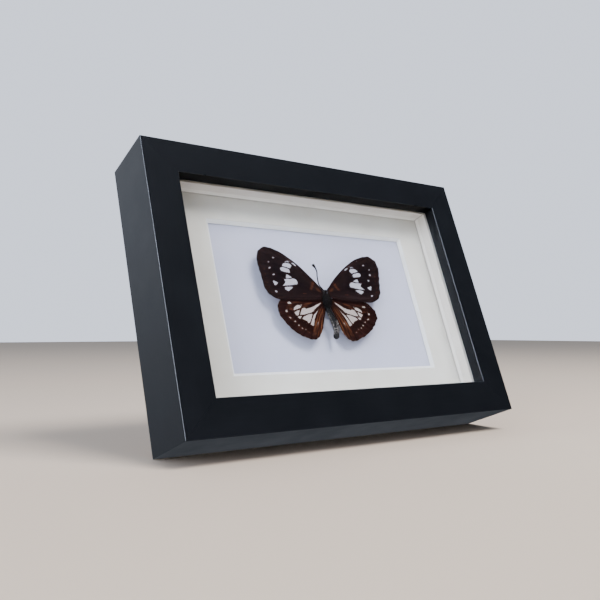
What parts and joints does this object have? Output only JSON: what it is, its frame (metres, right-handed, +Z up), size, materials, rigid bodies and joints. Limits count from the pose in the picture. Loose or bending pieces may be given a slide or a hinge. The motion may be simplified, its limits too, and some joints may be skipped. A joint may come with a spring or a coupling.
{
  "type": "framed butterfly specimen",
  "caption": "Dried butterfly with spread wings, pinned on card behind a bevelled mat and glass in a deep black box frame that leans back on a hinged strut.",
  "frame": {"origin": "bottom centre of the whole object's box as it stands: halfway across the width, halfway between the front edge and the strut's foot, at the surface it stands on", "axes": "+X across the frame to the viewer's right, +Y away from the viewer to the back, +Z up; the frame leans back 20.3 degrees about X"},
  "size_m": [0.171, 0.0886, 0.1233],
  "materials": {
    "black_foil": "satin black foil wrapped on fibreboard moulding",
    "clear_glass": "clear polished float glass",
    "white_board": "matt warm white board, cut edges brighter",
    "mount_card": "smooth matt cool white card",
    "pinning_foam": "closed-cell foam, hidden behind the card",
    "hardboard": "smooth brown pressed hardboard",
    "bright_steel": "zinc-bright pressed steel",
    "forewing_scales": "velvety black-brown wing scales with white patches",
    "hindwing_scales": "dark brown wing scales with a white streaked disc",
    "insect_body": "black chitin with short hair"
  },
  "bodies": {
    "frame": {"rail_bottom": "black_foil", "rail_top": "black_foil", "rail_left": "black_foil", "rail_right": "black_foil", "glass": "clear_glass", "spacer_bottom": "white_board", "spacer_top": "white_board", "spacer_left": "white_board", "spacer_right": "white_board", "mat": "white_board", "mount_card": "mount_card", "pinning_foam": "pinning_foam", "back_panel": "hardboard", "mounting_pin": "bright_steel", "forewing_left": "forewing_scales", "forewing_right": "forewing_scales", "hindwing_left": "hindwing_scales", "hindwing_right": "hindwing_scales", "butterfly_body": "insect_body", "antenna": "insect_body", "point_bottom_left": "bright_steel", "point_bottom_right": "bright_steel", "point_top_left": "bright_steel", "point_top_right": "bright_steel", "point_left": "bright_steel", "point_right": "bright_steel", "hinge_leaf_panel": "bright_steel", "hinge_pin": "bright_steel", "rivet_panel_1": "bright_steel", "rivet_panel_2": "bright_steel", "rivet_panel_3": "bright_steel"},
    "strut": {"strut": "hardboard", "hinge_leaf_strut": "bright_steel", "rivet_strut_1": "bright_steel", "rivet_strut_2": "bright_steel", "rivet_strut_3": "bright_steel"}
  },
  "joints": [
    {"name": "strut_hinge", "type": "hinge", "parent": "frame", "child": "strut", "pos_m": [0, 0.01398, 0.08639], "axis": [1, 0, 0], "range_deg": [-37.6, 0]}
  ]
}
